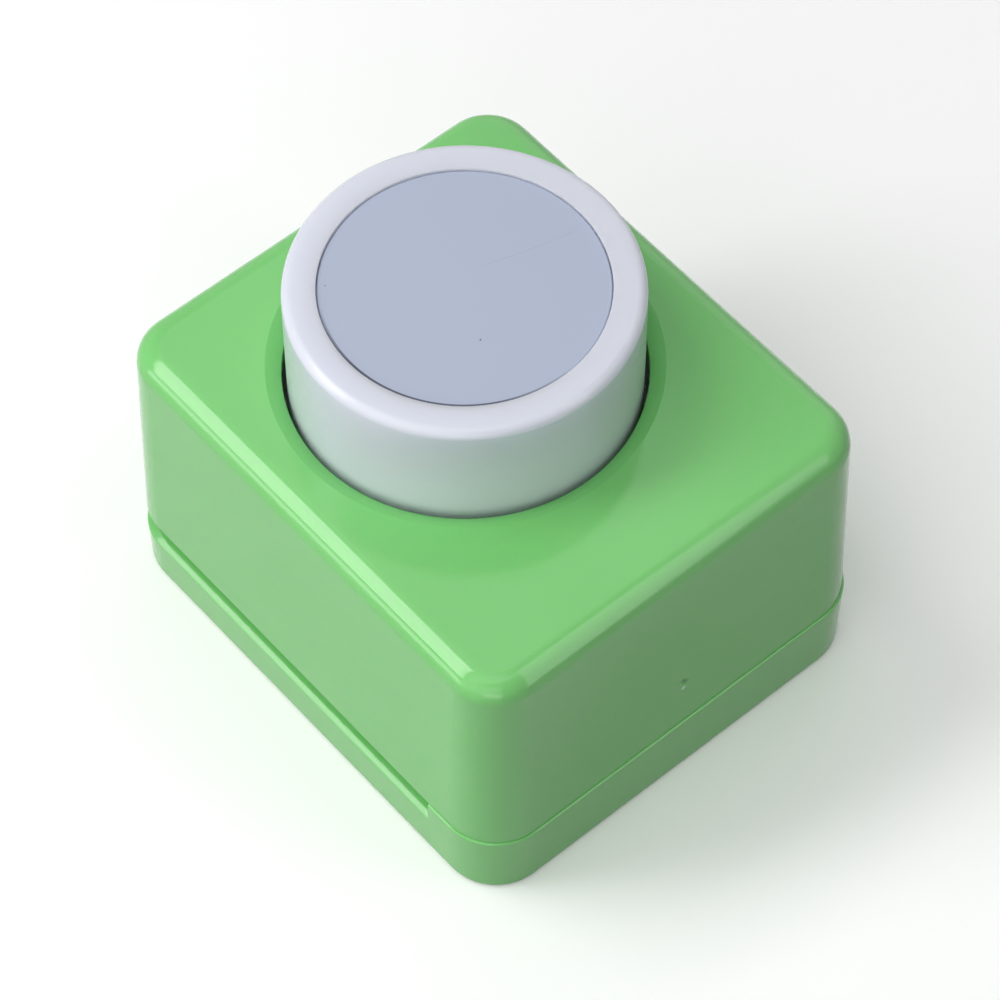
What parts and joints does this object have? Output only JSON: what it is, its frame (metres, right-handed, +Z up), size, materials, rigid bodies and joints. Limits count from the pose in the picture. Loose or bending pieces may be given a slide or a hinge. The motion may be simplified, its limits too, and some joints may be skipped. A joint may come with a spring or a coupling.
{
  "type": "craft punch",
  "caption": "Palm-pressed craft paper punch: two-shell body with a thin paper throat on three sides, a large round sprung push button and a round punch and die inside.",
  "frame": {"origin": "centre of the body's footprint, on the surface it stands on", "axes": "+Z up along the button's travel, -Y towards the closed front, +Y towards the open back of the throat, +X to the right seen from the front"},
  "size_m": [0.0622, 0.0715, 0.0582],
  "materials": {
    "green_plastic": "smooth glossy moulded plastic, fresh green",
    "white_plastic": "smooth glossy moulded plastic, cool white",
    "disc_plastic": "flat smooth grey inlay with a soft sheen",
    "plate_steel": "plain zinc-plated plate",
    "blade_steel": "ground tool steel",
    "spring_steel": "drawn spring wire",
    "post_steel": "polished round bar",
    "screw_steel": "zinc-plated screws and rivets"
  },
  "bodies": {
    "body": {"base_tray": "green_plastic", "top_cover": "green_plastic", "die_plate": "plate_steel", "spacer_bar": "plate_steel", "guide_plate": "plate_steel", "plate_rivets": "screw_steel", "front_screws": "screw_steel", "die_plate_screws": "screw_steel", "guide_plate_screws": "screw_steel", "guide_post_front_left": "post_steel", "guide_post_front_right": "post_steel", "guide_post_rear_left": "post_steel", "guide_post_rear_right": "post_steel", "return_spring_front_left": "spring_steel", "return_spring_front_right": "spring_steel", "return_spring_rear_left": "spring_steel", "return_spring_rear_right": "spring_steel"},
    "button": {"button_cap": "white_plastic", "button_disc": "disc_plastic", "punch_carrier": "plate_steel", "punch_blade": "blade_steel", "cap_screws": "screw_steel", "blade_screws": "screw_steel"}
  },
  "joints": [
    {"name": "button_press", "type": "slide", "parent": "body", "child": "button", "axis": [0, 0, -1], "range_m": [0, 0.008], "stiffness_N_per_m": 1800, "springref_m": -0.004, "deforming": ["return_spring_front_left", "return_spring_front_right", "return_spring_rear_left", "return_spring_rear_right"]}
  ]
}
